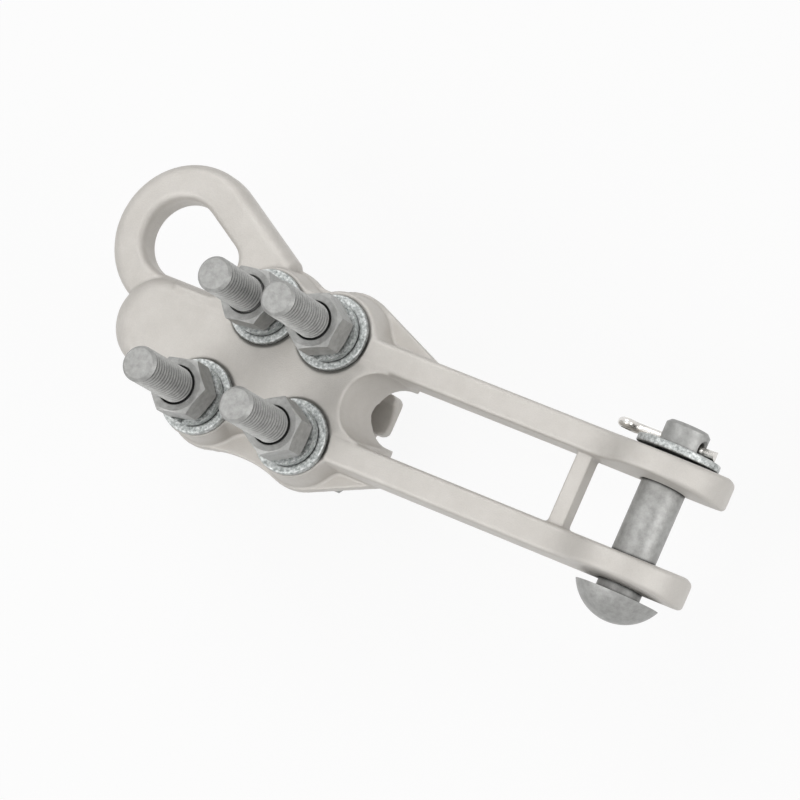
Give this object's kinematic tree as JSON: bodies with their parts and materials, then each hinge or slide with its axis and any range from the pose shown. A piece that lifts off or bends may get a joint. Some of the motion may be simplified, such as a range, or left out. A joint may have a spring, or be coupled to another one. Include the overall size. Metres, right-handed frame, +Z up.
{
  "type": "strain clamp",
  "caption": "Bolted overhead-line strain clamp: cast body with clevis and pulling eye, lower keeper, studs with nuts and washers, clevis pin with washer and cotter.",
  "frame": {"origin": "centre of the clevis pin, midway between the two clevis ears", "axes": "+X along the pull towards the clevis end, +Y along the clevis pin towards its cotter, +Z up through the studs; the conductor leaves towards -X"},
  "size_m": [0.2527, 0.0949, 0.0943],
  "materials": {
    "cast": "blasted, satin",
    "galvanised": "hot-dip galvanised, matt",
    "zinc_plate": "zinc plated, mottled",
    "stainless": "bright drawn wire"
  },
  "bodies": {
    "body": {"clamp_body": "cast", "flat_washer_1": "zinc_plate", "flat_washer_2": "zinc_plate", "flat_washer_3": "zinc_plate", "flat_washer_4": "zinc_plate", "spring_washer_1": "zinc_plate", "spring_washer_2": "zinc_plate", "spring_washer_3": "zinc_plate", "spring_washer_4": "zinc_plate"},
    "keeper_set": {"keeper": "cast", "bolt_1": "galvanised", "bolt_2": "galvanised", "bolt_3": "galvanised", "bolt_4": "galvanised"},
    "pin_washer_body": {"pin_washer": "zinc_plate"},
    "pin": {"clevis_pin": "galvanised", "cotter_pin": "stainless"},
    "nut_1_body": {"nut_1": "galvanised"},
    "nut_2_body": {"nut_2": "galvanised"},
    "nut_3_body": {"nut_3": "galvanised"},
    "nut_4_body": {"nut_4": "galvanised"}
  },
  "joints": [
    {"name": "keeper_travel", "type": "slide", "parent": "body", "child": "keeper_set", "axis": [0, 0, -1], "range_m": [0, 0.02]},
    {"name": "nut_1_turn", "type": "hinge", "parent": "body", "child": "nut_1_body", "pos_m": [-0.1586, 0.019, 0.0182], "axis": [0, 0, 1], "range_deg": [0, 3700]},
    {"name": "nut_2_turn", "type": "hinge", "parent": "body", "child": "nut_2_body", "pos_m": [-0.1312, 0.019, 0.0182], "axis": [0, 0, 1], "range_deg": [0, 3700]},
    {"name": "nut_3_turn", "type": "hinge", "parent": "body", "child": "nut_3_body", "pos_m": [-0.1692, -0.019, 0.0182], "axis": [0, 0, 1], "range_deg": [0, 3700]},
    {"name": "nut_4_turn", "type": "hinge", "parent": "body", "child": "nut_4_body", "pos_m": [-0.1294, -0.0194, 0.0182], "axis": [0, 0, 1], "range_deg": [0, 3700]},
    {"name": "pin_float", "type": "slide", "parent": "body", "child": "pin_washer_body", "axis": [0, 1, 0], "range_m": [-0.0001, 0.002]},
    {"name": "pin_spin", "type": "hinge", "parent": "pin_washer_body", "child": "pin", "pos_m": [0, 0, 0], "axis": [0, 1, 0], "continuous": true}
  ],
  "couplings": [
    {"joint": "nut_1_turn", "follows": "keeper_travel", "rad_per_m": 3215.9},
    {"joint": "nut_2_turn", "follows": "keeper_travel", "rad_per_m": 3215.9},
    {"joint": "nut_3_turn", "follows": "keeper_travel", "rad_per_m": 3215.9},
    {"joint": "nut_4_turn", "follows": "keeper_travel", "rad_per_m": 3215.9}
  ]
}
